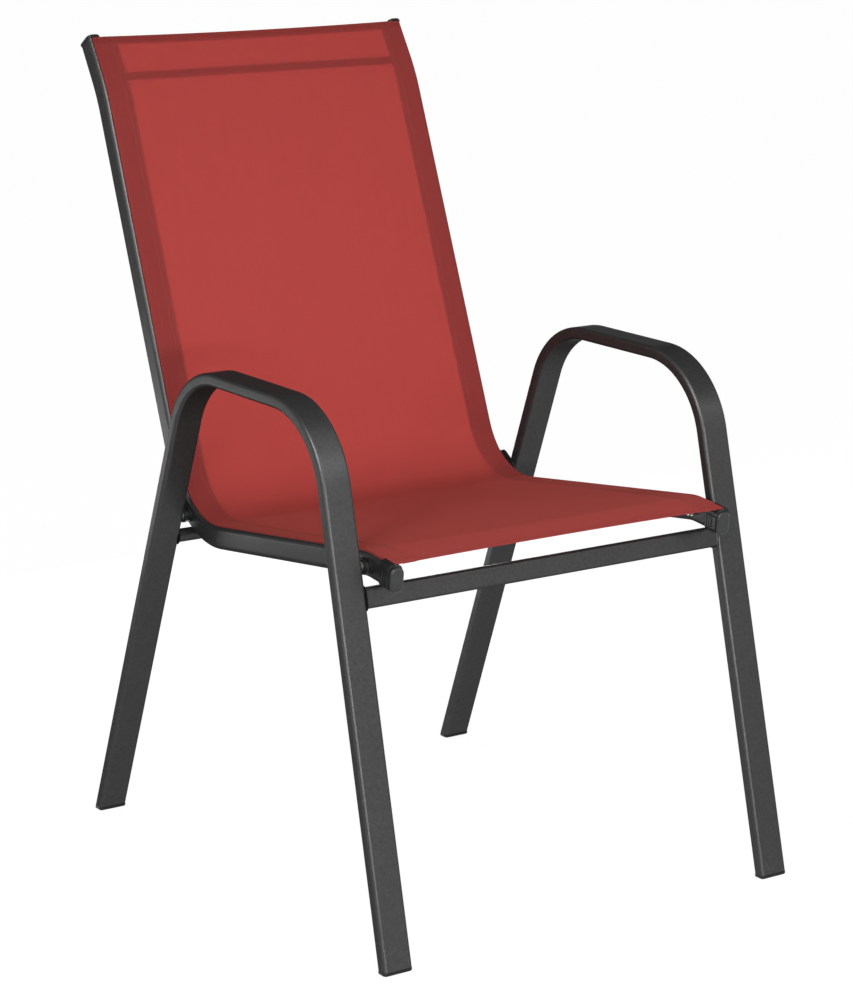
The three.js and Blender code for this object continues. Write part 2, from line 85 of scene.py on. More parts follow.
# Side rails, from the front end over knee, hip and shoulder to the top end
RAIL_FRONT = (-283 * MM, 419 * MM)
RAIL_RUNS = (
    (49.5 * MM, 6 * MM),
    (405.4 * MM, -45.8 * MM),
    (186.6 * MM, 504.2 * MM),
    (36.5 * MM, 59.9 * MM),
)
RAIL_BENDS = (79.7 * MM, 101.2 * MM, 228 * MM)
RAIL_SPACING = 440 * MM
RAIL_TOE_IN = 0.27 * DEGREE
RAIL_LEAN_IN = 0.2 * DEGREE
RAIL_WIDTH = 16 * MM
RAIL_DEPTH = 28 * MM
RAIL_CORNER = 6.5 * MM
GROOVE_AT = 3.4 * MM
SLOT_WIDTH = 2.2 * MM
SLOT_DEPTH = 1.8 * MM
SLOT_EASE = 0.35 * MM
CHANNEL = 6.4 * MM

# Crossbars
FRONT_BAR_HEIGHT = 390.9 * MM
FRONT_BAR_WIDTH = 23.5 * MM
FRONT_BAR_THICKNESS = 15 * MM
FRONT_BAR_CORNER = 4 * MM
REAR_BAR_HEIGHT = 377.5 * MM
REAR_BAR_DIAMETER = 16 * MM
WELD_SIZE = 2.3 * MM
WELD_PITCH = 2.6 * MM
WELD_ROOT = 0.4 * MM
WELD_RIPPLE_SHARE = 0.14
WELD_DRIFT_SHARE = 0.4
WELD_HOLLOW = 1.3

# End caps
CAP_OVERHANG = 0.5 * MM
TOP_CAP_OVERHANG = 1.1 * MM
CAP_PLATE = 1.6 * MM
CAP_EASE = 0.35 * MM
CAP_EASE_DEPTH = 0.3 * MM
CAP_DOME = 2 * MM
CAP_DOME_SPREAD = 1.15
CAP_TRIM = 1 * MM
FRONT_CAP_DROP = 2.2 * MM

# Sleeves of the front caps: a hood over the groove, ribs and a lip in front of the rail's end
COLLAR_LENGTH = 19 * MM
COLLAR_SIDE = 1.1 * MM
COLLAR_BOTTOM = 1.7 * MM
COLLAR_INNER_EDGE = 5 * MM
COLLAR_EASE = 0.3 * MM
HOOD_EDGE = 1.9 * MM
HOOD_LIFT = 1.3 * MM
HOOD_WALL = 0.7 * MM
RIB_START = 3 * MM
RIB_END = 1 * MM
RIB_PITCH = 4.4 * MM
RIB_GAP = 1.1 * MM
RIB_SLOPE = 0.15 * MM
RIB_DEPTH = 0.7 * MM
LIP_REACH = 5.2 * MM
LIP_STARTS = 0.04 * MM
LIP_ENDS = 0.25 * MM
LIP_RISE = 0.02 * MM

# Cloth, its hold round the cords and its shape
CLOTH = 0.46 * MM
SHEET_LEVEL = RAIL_DEPTH / 2 + 0.98 * MM
HEM_LEVEL = RAIL_DEPTH / 2 + 0.49 * MM
TUCK_LEVEL = RAIL_DEPTH / 2 + 0.04 * MM
HEM_EDGE = -26.8 * MM
TUCK_EDGE = -8.6 * MM
FOLD_ROUNDING = 0.5 * MM
CORD_LOOP = 2.84 * MM
LOOP_NECK = 0.42 * MM
FRONT_INSET = 0.9 * MM
TOP_INSET = 0.9 * MM
FRONT_RECESS = 4.5 * MM
TOP_RECESS = 2.2 * MM
RECESS_REACH = 90 * MM
HIP_BOW, HIP_REACH = 0.5 * MM, 75 * MM
SEAT_SAG, SEAT_REACH = 4 * MM, 140 * MM
BACK_SAG, BACK_REACH = 1.5 * MM, 160 * MM
BACK_ABOVE_HIP = 300 * MM
ACROSS_STEPS = 26

# The cloth's section over a rail: places out from the rail's centre line, some with a rise
HEM_RUN = tuple(out * MM for out in (-20, -13, -6, -2, 1))
INTO_SLOT = ((2.2 * MM, -0.15 * MM), (2.85 * MM, -0.8 * MM))
OUT_OF_SLOT = ((3.92 * MM, -0.9 * MM), (3.86 * MM, -0.25 * MM), (3.45 * MM, 0.22 * MM))
ONTO_RAIL = ((2.7 * MM, -0.1 * MM), (1.5 * MM, 0))
SHEET_RUN = tuple(-out * MM for out in (1, 4, 8, 12, 16, 20, 24, 26, 28, 32, 40))

# End hems
END_HEMS = (("front", False, 6 * MM), ("top", True, 10.5 * MM))
FOLD_CLEARANCE = 0.05 * MM
FOLD_NOSE = 0.1 * MM
TUCK_OUT = 0.25 * MM
TUCK_BACK = 0.3 * MM
TUCK_LENGTH = 3 * MM
HEM_CLEARANCE = 1.2 * MM
HEM_COLUMNS = 40

# Stitches
STITCH = 3.1 * MM
STITCH_PITCH = 3.9 * MM
THREAD = 0.24 * MM
THREAD_END_SHARE = 0.45
THREAD_RISE_SHARE = 0.9
THREAD_SINK_SHARE = 0.35
SIDE_SEAMS = (2.2 * MM, 7.2 * MM)
SIDE_SEAM_START = 6 * MM
SIDE_SEAM_END = 4 * MM
END_SEAM = 1.6 * MM
END_SEAM_START = 3 * MM
END_SEAM_END = 5 * MM

# Softened edges of the pieces that keep their solid's shape
SPACER_EDGE = 0.5 * MM
SPREADER_EDGE = 0.4 * MM
FIXING_EDGE = 0.2 * MM
CORD_EDGE = 0.1 * MM
BEVEL_FROM = 40 * DEGREE

SIDES = (("left", -1), ("right", 1))

Part = namedtuple("Part", "start length place way radius turn")


class Path:
    """A centre line in the side view: straight runs joined by arcs, measured by length."""

    def __init__(self, corners, radii):
        corners = [np.array(c) for c in corners]
        self.parts = []
        self.length = 0.0
        place = corners[0]
        for i, radius in enumerate(radii, start=1):
            before = self.way(corners[i - 1], corners[i])
            after = self.way(corners[i], corners[i + 1])
            turn = math.atan2(before[0] * after[1] - before[1] * after[0], before @ after)
            back = radius * math.tan(abs(turn) / 2)
            self.add(place, before, np.linalg.norm(corners[i] - before * back - place), 0, 0)
            self.add(corners[i] - before * back, before, radius * abs(turn), radius, turn)
            place = corners[i] + after * back
        last = self.way(place, corners[-1])
        self.add(place, last, np.linalg.norm(corners[-1] - place), 0, 0)

    @staticmethod
    def way(a, b):
        return (b - a) / np.linalg.norm(b - a)

    def add(self, place, way, length, radius, turn):
        self.parts.append(Part(self.length, length, place, way, radius, turn))
        self.length += length

    def at(self, s):
        """Place and direction at a length, straight on past both ends: y, z, dy, dz."""
        part = self.parts[0]
        for later in self.parts[1:]:
            if s >= later.start:
                part = later
        way, past = part.way, s - part.start
        if not part.radius:
            y, z = part.place + way * past
            return y, z, way[0], way[1]
        reach = part.radius * math.copysign(1, part.turn)
        centre = part.place + reach * np.array([-way[1], way[0]])
        angle = math.atan2(way[1], way[0]) + part.turn * past / part.length
        dy, dz = math.cos(angle), math.sin(angle)
        return centre[0] + dz * reach, centre[1] - dy * reach, dy, dz

    def stops(self, first, last, straight, bend):
        """Lengths to put a ring at, closer together in bends."""
        marks = [first]
        for part in self.parts:
            a, b = max(part.start, first), min(part.start + part.length, last)
            if b <= a:
                continue
            count = max(1, math.ceil((b - a) / (bend if part.radius else straight)))
            marks += [a + (b - a) * k / count for k in range(count + 1)]
        marks.append(last)
        kept = [marks[0]]
        for mark in marks[1:]:
            if mark - kept[-1] > GAP / 2:
                kept.append(mark)
        return kept


def hoop_path():
    """From the front foot over the arm to the rear foot."""
    foot = FOOT_SPREAD / 2

    def meet(y, slope):
        z = (ARM_HEIGHT + y * math.tan(ARM_PITCH)) / (1 - slope * math.tan(ARM_PITCH))
        return y + slope * z, z

    corners = [(-foot, 0), meet(-foot, math.tan(FRONT_LEAN)), meet(foot, -math.tan(REAR_LEAN)), (foot, 0)]
    return Path(corners, (FRONT_BEND, REAR_BEND))


def rail_path():
    """From the rail's front end along the seat and up the back."""
    corners = [RAIL_FRONT]
    for run, rise in RAIL_RUNS:
        corners.append((corners[-1][0] + run, corners[-1][1] + rise))
    return Path(corners, RAIL_BENDS)


HOOP = hoop_path()
RAIL = rail_path()

# The side view's middle between the feet, from where the frame holds the front crossbar
bar_low, bar_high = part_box("front_crossbar")
MIDDLE_Y = (bar_low[1] + bar_high[1]) / 2 + FOOT_SPREAD / 2 - FRONT_BAR_HEIGHT * math.tan(FRONT_LEAN)


def hoop_x(z):
    """The hoop's distance from the middle plane, which falls with height."""
    return HOOP_SPACING / 2 - z * math.tan(HOOP_SPLAY)


def rail_x(y, z):
    """The rail's distance from the middle plane, which falls towards the rear and the top."""
    drawn_in = (y - RAIL_FRONT[0]) * math.tan(RAIL_TOE_IN) + (z - RAIL_FRONT[1]) * math.tan(RAIL_LEAN_IN)
    return RAIL_SPACING / 2 - drawn_in


# Outlines, as points across the chair and away from the centre line
def rounded_box(width, height, corner, steps=6):
    points = []
    middles = ((1, 1), (-1, 1), (-1, -1), (1, -1))
    for quarter, (sx, sy) in enumerate(middles):
        for k in range(steps + 1):
            angle = (quarter + k / steps) * math.pi / 2
            x = sx * (width / 2 - corner) + corner * math.cos(angle)
            y = sy * (height / 2 - corner) + corner * math.sin(angle)
            points.append((x, y))
    return points


def circle(radius, sides=32):
    angles = [2 * math.pi * k / sides for k in range(sides)]
    return [(radius * math.cos(a), radius * math.sin(a)) for a in angles]


def open_ring(middle, radius, opening, steps):
    """A circle with a gap at the top, as wide as twice the opening angle."""
    points = []
    for k in range(steps + 1):
        angle = math.pi / 2 + opening + (2 * math.pi - 2 * opening) * k / steps
        points.append((middle[0] + radius * math.cos(angle), middle[1] + radius * math.sin(angle)))
    return points


def rail_outline():
    """The rail's section with its keyhole groove, x outwards and y towards the cloth."""
    top = RAIL_DEPTH / 2
    r = RAIL_CORNER
    middle = (RAIL_WIDTH / 2 - r, top - r)

    def surface(x):
        over = max(0.0, x - middle[0])
        return middle[1] + math.sqrt(r * r - over * over)

    near, far = GROOVE_AT - SLOT_WIDTH / 2, GROOVE_AT + SLOT_WIDTH / 2
    depth = top - SLOT_DEPTH - CHANNEL / 2
    opening = math.asin(SLOT_WIDTH / CHANNEL)
    channel = open_ring((GROOVE_AT, depth), CHANNEL / 2, opening, 14)
    ease = SLOT_EASE
    groove = [(far + ease, surface(far + ease)), (far, surface(far) - ease), *reversed(channel)]
    groove += [(near, surface(near) - ease), (near - ease, surface(near - ease))]
    steps = 6
    outer = rounded_box(RAIL_WIDTH, RAIL_DEPTH, r, steps)
    corner, rest = outer[:steps + 1], outer[steps + 1:]
    before = [p for p in corner if p[0] > far + ease]
    after = [p for p in corner if p[0] < near - ease]
    return before + groove + after + rest


# Meshes
def new_piece(name, vertices, faces, sharp, uvs=None):
    """A smooth mesh with edges sharp above an angle in degrees."""
    mesh = bpy.data.meshes.new(name)
    mesh.from_pydata([tuple(v) for v in vertices], [], faces)
    if uvs is not None:
        layer = mesh.uv_layers.new(name="UVMap")
        for loop in mesh.loops:
            layer.data[loop.index].uv = uvs[loop.vertex_index]
    mesh.polygons.foreach_set("use_smooth", [True] * len(mesh.polygons))
    mesh.validate()
    mesh.update()
    piece = bpy.data.objects.new(name, mesh)
    bpy.context.scene.collection.objects.link(piece)
    mesh.set_sharp_from_angle(angle=sharp * DEGREE)
    return piece


def outward(piece):
    """Turns a closed mesh's faces outwards."""
    work = bmesh.new()
    work.from_mesh(piece.data)
    bmesh.ops.recalc_face_normals(work, faces=work.faces)
    work.to_mesh(piece.data)
    work.free()
    return piece


def loft(name, rings, sharp=35):
    """A closed solid through rings of as many points each, with flat ends."""
    count = len(rings[0])
    faces = []
    for i in range(len(rings) - 1):
        for k in range(count):
            a, b = i * count + k, i * count + (k + 1) % count
            faces.append((a, b, b + count, a + count))
    faces.append(tuple(range(count)))
    faces.append(tuple(range((len(rings) - 1) * count, len(rings) * count)))
    piece = outward(new_piece(name, [p for ring in rings for p in ring], faces, sharp))
    # Once more, because turned faces change the angles between them
    piece.data.set_sharp_from_angle(angle=sharp * DEGREE)
    weighted = piece.modifiers.new("even shading", "WEIGHTED_NORMAL")
    weighted.keep_sharp = True
    return piece


def sweep(name, outline, path, stops, centre, side, cut=None):
    """An outline along a path, its ends cut level at a height where one is given.

    centre gives the distance from the middle plane at a place.
    """
    rings = []
    for i, s in enumerate(stops):
        y, z, dy, dz = path.at(s)
        ring = []
        for across, away in outline:
            py, pz = y - away * dz, z + away * dy
            if cut is not None and i in (0, len(stops) - 1):
                slide = (cut - pz) / dz
                py, pz = py + dy * slide, cut
            ring.append((side * (centre(py, pz) + across), py + MIDDLE_Y, pz))
        rings.append(ring)
    return loft(name, rings)


def finished(piece, material, slot, *nodes):
    """Gives a piece its finish and hides the solids that it stands for."""
    piece.data.materials.clear()
    piece.data.materials.append(material)
    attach(piece, "root")
    if nodes:
        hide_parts(*nodes)
    return piece


# Materials
class Nodes:
    """The nodes of a material, or of the world, made one call at a time."""

    def __init__(self, name=None, world=None):
        self.owner = world or bpy.data.materials.new(name)
        self.owner.use_nodes = True
        self.tree = self.owner.node_tree
        self.tree.nodes.clear()
        self.output = self.tree.nodes.new("ShaderNodeOutputWorld" if world else "ShaderNodeOutputMaterial")

    def add(self, kind, inputs=(), **settings):
        node = self.tree.nodes.new(kind)
        for key, value in settings.items():
            setattr(node, key, value)
        for key, value in dict(inputs).items():
            self.feed(node.inputs[key], value)
        return node

    def feed(self, socket, value):
        """Links a socket to another one, or sets it to a constant."""
        if isinstance(value, bpy.types.NodeSocket):
            self.tree.links.new(value, socket)
        else:
            socket.default_value = value

    def math(self, operation, a, b=0.0):
        node = self.add("ShaderNodeMath", operation=operation)
        self.feed(node.inputs[0], a)
        self.feed(node.inputs[1], b)
        return node.outputs[0]

    def noise(self, coordinates, scale, detail=3.0, roughness=0.5):
        inputs = {"Vector": coordinates, "Scale": scale, "Detail": detail, "Roughness": roughness}
        return self.add("ShaderNodeTexNoise", inputs).outputs["Fac"]

    def spread(self, value, low, high, to_low, to_high):
        """A value between low and high, carried over to another range."""
        inputs = {"Value": value, "From Min": low, "From Max": high, "To Min": to_low, "To Max": to_high}
        return self.add("ShaderNodeMapRange", inputs, clamp=True).outputs["Result"]

    def mix(self, share, a, b):
        node = self.add("ShaderNodeMix", data_type="RGBA")
        for key, value in (("Factor", share), ("A", a), ("B", b)):
            self.feed(next(s for s in node.inputs if s.name == key and s.enabled), value)
        return next(s for s in node.outputs if s.enabled)

    def blend(self, share, first, second):
        """A mix of two shaders."""
        node = self.add("ShaderNodeMixShader", {"Fac": share})
        self.tree.links.new(first.outputs[0], node.inputs[1])
        self.tree.links.new(second.outputs[0], node.inputs[2])
        return node.outputs[0]

    def bump(self, height, strength, distance, normal=None):
        """Relief from a height, on top of other relief where that is given."""
        inputs = {"Height": height, "Strength": strength, "Distance": distance}
        if normal is not None:
            inputs["Normal"] = normal
        return self.add("ShaderNodeBump", inputs).outputs[0]

    def stretched(self, coordinates, scale):
        return self.add("ShaderNodeMapping", {"Vector": coordinates, "Scale": scale}).outputs[0]

    def place(self):
        """The chair's own coordinates, in metres."""
        return self.add("ShaderNodeTexCoord").outputs["Object"]

    def show(self, shader):
        self.tree.links.new(shader, self.output.inputs["Surface"])
        return self.owner


def linear(red, green, blue):
    """An sRGB colour, 0 to 255, as Blender's linear colour."""
    parts = [v / 255 for v in (red, green, blue)]
    return (*[p / 12.92 if p <= 0.04045 else ((p + 0.055) / 1.055) ** 2.4 for p in parts], 1.0)


def scaled(colour, share):
    return (*[c * share for c in colour[:3]], 1.0)


def powder_coat():
    """Charcoal powder coat: fine grain, a slight orange peel and lighter scuffs low on the legs."""
    n = Nodes("powder_coat")
    place = n.place()
    grain = n.noise(place, 900.0, 2.0)
    mottle = n.noise(place, 240.0, 3.0, 0.6)
    broad = n.noise(place, 14.0, 3.0)
    base = linear(67, 67, 67)
    dark, light = scaled(base, 0.88), scaled(base, 1.13)
    speckle = n.math("ADD", n.math("MULTIPLY", grain, 0.45), n.math("MULTIPLY", mottle, 0.55))
    colour = n.mix(n.spread(speckle, 0.36, 0.64, 0.0, 1.0), dark, light)
    colour = n.mix(n.spread(broad, 0.4, 0.75, 0.0, 0.18), colour, scaled(base, 1.35))
    height = n.add("ShaderNodeSeparateXYZ", {"Vector": place}).outputs["Z"]
    low = n.spread(height, 2 * MM, 50 * MM, 1.0, 0.0)
    scratch = n.noise(n.stretched(place, (1, 1, 0.15)), 700.0, 2.0)
    scuff = n.math("MULTIPLY", n.spread(scratch, 0.62, 0.70, 0.0, 1.0), n.math("MULTIPLY", low, 0.5))
    colour = n.mix(scuff, colour, linear(112, 112, 110))
    rough = n.spread(mottle, 0.3, 0.7, 0.32, 0.40)
    fine = n.bump(grain, 0.16, 0.2 * MM)
    peel = n.bump(mottle, 0.12, 0.4 * MM, fine)
    shader = n.add("ShaderNodeBsdfPrincipled", {
        "Base Color": colour, "Roughness": rough, "Normal": peel, "Metallic": 0.6,
        "Specular IOR Level": 0.0, "Specular Tint": (0.32, 0.32, 0.32, 1)})
    return n.show(shader.outputs[0])


def moulded(name, colour, roughness, specular):
    """Matt moulded plastic with a fine spark-eroded grain and handling marks."""
    n = Nodes(name)
    place = n.place()
    grain = n.noise(place, 1600.0, 2.0)
    cloud = n.noise(place, 90.0, 4.0, 0.6)
    shade = n.mix(n.spread(cloud, 0.35, 0.65, 0.0, 1.0), scaled(colour, 0.85), scaled(colour, 1.18))
    rough = n.spread(cloud, 0.3, 0.7, roughness - 0.06, roughness + 0.08)
    shader = n.add("ShaderNodeBsdfPrincipled", {
        "Base Color": shade, "Roughness": rough, "Normal": n.bump(grain, 0.3, 0.12 * MM),
        "Specular IOR Level": specular})
    return n.show(shader.outputs[0])


def zinc():
    """Zinc plated steel with its pale blue-yellow clouding and a fine grain."""
    n = Nodes("zinc_plate")
    place = n.place()
    cloud = n.noise(place, 220.0, 4.0, 0.6)
    grain = n.noise(place, 2200.0, 2.0)
    shade = n.mix(n.spread(cloud, 0.35, 0.65, 0.0, 1.0), linear(150, 152, 156), linear(186, 183, 172))
    rough = n.spread(cloud, 0.3, 0.7, 0.28, 0.46)
    shader = n.add("ShaderNodeBsdfPrincipled", {
        "Base Color": shade, "Roughness": rough, "Normal": n.bump(grain, 0.2, 0.06 * MM), "Metallic": 1.0})
    return n.show(shader.outputs[0])


def cord():
    """Extruded cord, smooth, a little dusty."""
    n = Nodes("edge_cord")
    dust = n.noise(n.place(), 300.0, 4.0)
    shade = n.mix(n.spread(dust, 0.4, 0.7, 0.0, 1.0), linear(216, 214, 208), linear(186, 181, 170))
    shader = n.add("ShaderNodeBsdfPrincipled", {
        "Base Color": shade, "Roughness": n.spread(dust, 0.3, 0.7, 0.4, 0.6)})
    return n.show(shader.outputs[0])


# Weave: pitch of the yarns, how far they wander, and the share of light that passes through
YARN = 1.15 * MM
YARN_WANDER = 1.2 * MM
LIGHT_THROUGH_SHARE = 0.56


def sling_weave():
    """Coated polyester mesh: plain weave of round yarns that lets some of the light through."""
    n = Nodes("sling_weave")
    uv = n.add("ShaderNodeTexCoord").outputs["UV"]
    parts = n.add("ShaderNodeSeparateXYZ", {"Vector": uv})
    u, v = parts.outputs["X"], parts.outputs["Y"]
    wander = n.noise(uv, 60.0, 2.0)
    shift = n.math("MULTIPLY", wander, YARN_WANDER)
    warp = n.math("SINE", n.math("MULTIPLY", n.math("ADD", u, shift), math.pi / YARN))
    weft = n.math("SINE", n.math("MULTIPLY", n.math("ADD", v, shift), math.pi / YARN))
    cell = n.math("MULTIPLY", warp, weft)
    height = n.math("POWER", n.math("ABSOLUTE", cell), 0.6)
    turn = n.spread(cell, -0.2, 0.2, 0.0, 1.0)
    panel = linear(184, 80, 77)
    body = n.mix(turn, scaled(panel, 0.93), scaled(panel, 1.07))
    # Painted shade: the gaps between the yarns are made darker, for the shade that falls between them
    body = n.mix(n.spread(height, 0.05, 0.5, 0.55, 0.0), body, scaled(panel, 0.45))
    streak = n.noise(n.stretched(uv, (1, 0.02, 1)), 420.0, 3.0)
    slub = n.noise(n.stretched(uv, (0.05, 1, 1)), 500.0, 3.0)
    fleck = n.noise(uv, 380.0, 3.0, 0.6)
    body = n.mix(n.spread(streak, 0.4, 0.7, 0.0, 0.16), body, scaled(panel, 1.3))
    body = n.mix(n.spread(slub, 0.45, 0.75, 0.0, 0.18), body, scaled(panel, 0.7))
    body = n.mix(n.spread(fleck, 0.4, 0.7, 0.0, 0.10), body, scaled(panel, 0.72))
    relief = n.bump(height, 0.5, 0.18 * MM)
    front = n.add("ShaderNodeBsdfPrincipled", {
        "Base Color": body, "Roughness": n.spread(fleck, 0.3, 0.7, 0.55, 0.7), "Normal": relief,
        "Specular IOR Level": 0.08, "Sheen Weight": 1.0, "Sheen Roughness": 0.45,
        "Sheen Tint": linear(250, 122, 110)})
    glow = n.mix(n.spread(height, 0.05, 0.5, 0.35, 0.0), linear(205, 118, 112), linear(232, 188, 178))
    through = n.add("ShaderNodeBsdfTranslucent", {"Color": glow, "Normal": relief})
    return n.show(n.blend(LIGHT_THROUGH_SHARE, front, through))


def thread():
    """Twisted sewing thread in the cloth's colour."""
    n = Nodes("sewing_thread")
    twist = n.noise(n.place(), 2600.0, 2.0)
    shade = n.mix(n.spread(twist, 0.35, 0.65, 0.0, 1.0), linear(120, 40, 38), linear(172, 70, 64))
    shader = n.add("ShaderNodeBsdfPrincipled", {
        "Base Color": shade, "Roughness": 0.6, "Normal": n.bump(twist, 0.4, 0.1 * MM)})
    return n.show(shader.outputs[0])


COAT = powder_coat()
BLACK = moulded("black_moulding", linear(25, 26, 26), 0.45, 0.2)
CAP_GREY = moulded("cap_moulding", linear(46, 47, 47), 0.36, 0.3)
ZINC = zinc()
CORD = cord()
WEAVE = sling_weave()
THREAD_SHADE = thread()


# Hoops and feet
def leg_hoop(name, side):
    outline = rounded_box(HOOP_WIDTH, HOOP_THICKNESS, HOOP_CORNER)
    stops = HOOP.stops(0, HOOP.length, TUBE_STEP, BEND_STEP)
    piece = sweep(f"{name}_hoop_tube", outline, HOOP, stops, lambda y, z: hoop_x(z), side, cut=SOLE + GAP)
    finished(piece, COAT, "frame_powder_coat", f"{name}_leg_hoop")


def foot(name, side, place, way, lean, y):
    """A sole with rounded edges, drawn in at the bottom, and a lip round the tube's end."""
    middle = y + SOLE * math.tan(lean) * way + MIDDLE_Y
    rings = []
    for z, inset in SOLE_LEVELS:
        width = HOOP_WIDTH + 2 * SOLE_OVERHANG - 2 * inset
        depth = HOOP_THICKNESS / math.cos(lean) + 2 * SOLE_OVERHANG - 2 * inset
        outline = rounded_box(width, depth, HOOP_CORNER + SOLE_OVERHANG - inset)
        rings.append([(side * (hoop_x(z) + px), py + middle, z) for px, py in outline])
    piece = loft(f"{name}_{place}_glide", rings, sharp=50)
    finished(piece, BLACK, "black_plastic", f"{name}_{place}_foot")


# Side rails with their caps
def side_rail(name, side):
    stops = RAIL.stops(0, RAIL.length, RAIL_STEP, BEND_STEP)
    piece = sweep(f"{name}_rail_profile", rail_outline(), RAIL, stops, rail_x, side)
    finished(piece, COAT, "frame_powder_coat", f"{name}_sling_rail")


def end_frame(at_top):
    """Place, way out and way towards the cloth at an end of the rails."""
    y, z, dy, dz = RAIL.at(RAIL.length if at_top else 0)
    way = 1 if at_top else -1
    out = Vector((0, dy * way, dz * way))
    cloth = Vector((0, -dz, dy))
    return Vector((0, y + MIDDLE_Y, z)), out, cloth, rail_x(y, z)


def placed(points, origin, out, cloth, side, x):
    """Points given as across, towards the cloth and out of the rail, in the chair's frame."""
    made = []
    for across, away, ahead in points:
        p = origin + cloth * away + out * ahead
        made.append((side * (x + across), p.y, p.z))
    return made


def end_cap(name, side, at_top):
    """A flat plate with a domed face. The front one sits lower than the rail and has a sleeve."""
    origin, out, cloth, x = end_frame(at_top)
    overhang = TOP_CAP_OVERHANG if at_top else CAP_OVERHANG
    trim = 0 if at_top else CAP_TRIM
    width, depth = RAIL_WIDTH + 2 * overhang, RAIL_DEPTH + 2 * overhang - trim
    corner = RAIL_CORNER + overhang
    drop = 0 if at_top else FRONT_CAP_DROP + trim / 2
    levels = [(GAP, CAP_EASE), (GAP + CAP_EASE_DEPTH, 0), (GAP + CAP_PLATE, 0)]
    steps = 6
    for k in range(1, steps + 1):
        turn = k / steps * math.pi / 2
        ahead = GAP + CAP_PLATE + CAP_DOME * math.sin(turn)
        levels.append((ahead, CAP_DOME * (1 - math.cos(turn)) * CAP_DOME_SPREAD))
    rings = []
    for ahead, inset in levels:
        outline = rounded_box(width - 2 * inset, depth - 2 * inset, corner - inset, 8)
        rings.append(placed([(px, py - drop, ahead) for px, py in outline], origin, out, cloth, side, x))
    kind = "top" if at_top else "front"
    piece = loft(f"{name}_{kind}_cap_dome", rings, sharp=50)
    material, slot = (BLACK, "black_plastic") if at_top else (CAP_GREY, "cap_plastic")
    finished(piece, material, slot, f"{name}_rail_{kind}_cap")
    if not at_top:
        front_collar(name, side, origin, out, cloth, x)


def collar_section(outset, lip):
    """The sleeve's wall, as one closed outline.

    It runs from above the cloth's groove round the outer side and the bottom, up the inner side and
    back along the inner face. The lip grows that inner face inwards.
    """
    half, low = RAIL_WIDTH / 2 + GAP, -RAIL_DEPTH / 2 - GAP
    high = RAIL_DEPTH / 2 + HOOD_LIFT

    def trace(grow, top):
        r = RAIL_CORNER + grow
        right, left, bottom = half + grow - r, r - half - grow, low - grow + r
        edge = math.acos(min(1, (HOOD_EDGE - right) / r)) / DEGREE
        corners = (
            (right, top - r, edge, 0),
            (right, bottom, 0, -90),
            (left, bottom, -90, -180),
        )
        points = []
        steps = 8
        for cx, cy, first, last in corners:
            for k in range(steps + 1):
                angle = (first + (last - first) * k / steps) * DEGREE
                points.append((cx + r * math.cos(angle), cy + r * math.sin(angle)))
        points.append((-half - grow, COLLAR_INNER_EDGE))
        return points

    thicker = COLLAR_BOTTOM - COLLAR_SIDE
    outside = trace(COLLAR_SIDE + outset, high + HOOD_WALL + outset)
    outside = [(px, py - thicker if py < 0 else py) for px, py in outside]
    return outside + trace(-lip, high - lip)[::-1]


def front_collar(name, side, origin, out, cloth, x):
    """The cap's sleeve, with grooves round it and a lip that closes it in front of the rail's end.

    Each stop gives a length out of the rail, how far the outside stands out and how far the lip reaches in.
    """
    stops = [(-COLLAR_LENGTH, -COLLAR_EASE, 0), (-COLLAR_LENGTH + COLLAR_EASE, 0, 0)]
    for k in range(int((COLLAR_LENGTH - RIB_START - RIB_END) / RIB_PITCH)):
        start = -COLLAR_LENGTH + RIB_START + k * RIB_PITCH
        end = start + RIB_GAP
        stops += [(start, 0, 0), (start + RIB_SLOPE, -RIB_DEPTH, 0)]
        stops += [(end - RIB_SLOPE, -RIB_DEPTH, 0), (end, 0, 0)]
    stops += [(LIP_STARTS - LIP_RISE, 0, 0)]
    stops += [(LIP_STARTS, 0, LIP_REACH), (LIP_ENDS, -COLLAR_EASE, LIP_REACH)]
    rings = []
    for ahead, outset, lip in stops:
        section = collar_section(outset, lip)
        rings.append(placed([(px, py, ahead) for px, py in section], origin, out, cloth, side, x))
    piece = loft(f"{name}_front_cap_collar", rings, sharp=40)
    finished(piece, BLACK, "black_plastic")


# Crossbars with their welds
def straight_bar(name, outline, y, z, tilt, reach, node):
    """A bar across the chair, with a weld at each end."""
    turned = [(px * math.cos(tilt) - pz * math.sin(tilt), px * math.sin(tilt) + pz * math.cos(tilt))
              for px, pz in outline]
    steps = 12
    rings = []
    for k in range(steps + 1):
        x = reach * (2 * k / steps - 1)
        rings.append([(x, y + py + MIDDLE_Y, z + pz) for py, pz in turned])
    finished(loft(name, rings), COAT, "frame_powder_coat", node)
    for side_name, side in SIDES:
        weld_bead(f"{name}_{side_name}_weld", turned, side, reach, y, z)


